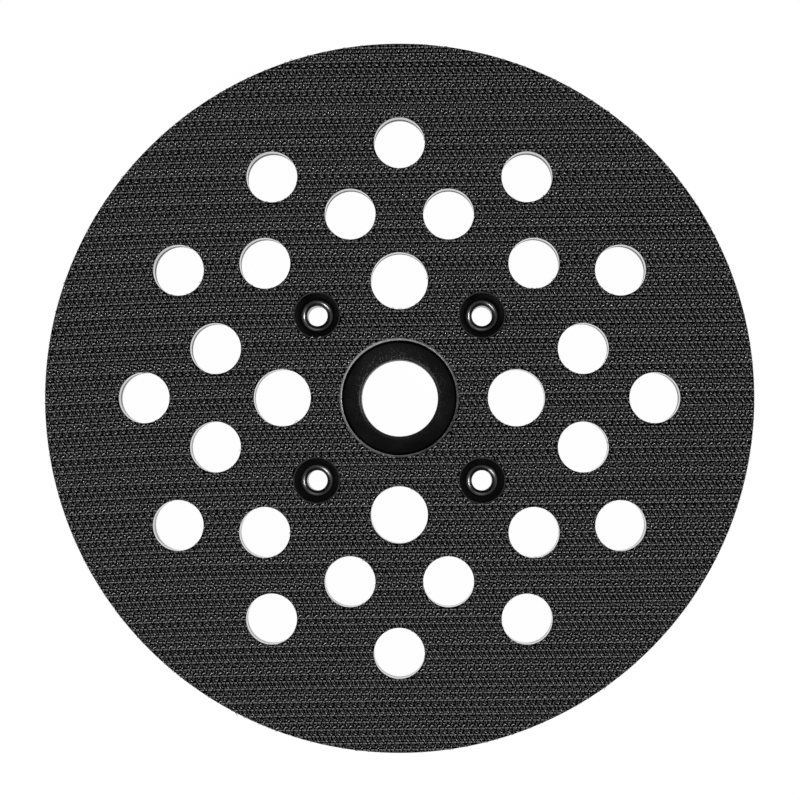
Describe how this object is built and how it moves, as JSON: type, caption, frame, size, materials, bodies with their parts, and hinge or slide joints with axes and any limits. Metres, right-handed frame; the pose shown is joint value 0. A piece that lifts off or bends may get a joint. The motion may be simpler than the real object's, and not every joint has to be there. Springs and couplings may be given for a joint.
{
  "type": "sander backing pad",
  "caption": "Round hook-faced backing pad for a random-orbit sander, with dust vents, a centre bore and four screw holes in a ribbed hub.",
  "frame": {"origin": "middle of the hub's mounting face, which the pad lies on", "axes": "+Z along the bore, from the hub to the hook face; +X through an outer and an inner vent; the screw holes are at 45 degrees"},
  "size_m": [0.149, 0.149, 0.0156],
  "materials": {
    "moulded_plate": "fine moulded grain, black glass-filled nylon",
    "foam": "matte moulded foam skin",
    "film": "thin grey hot-melt film, seen only at cut edges",
    "tape_weave": "black woven ground with a low yarn sheen",
    "hooks": "glossy black monofilament hooks",
    "bush": "black-finished steel, semi-gloss"
  },
  "bodies": {
    "root": {"backing_plate": "moulded_plate", "foam_cushion": "foam", "adhesive_film": "film", "hook_tape_weave": "tape_weave", "hook_pile": "hooks", "screw_bush_1": "bush", "screw_bush_2": "bush", "screw_bush_3": "bush", "screw_bush_4": "bush"}
  },
  "joints": []
}
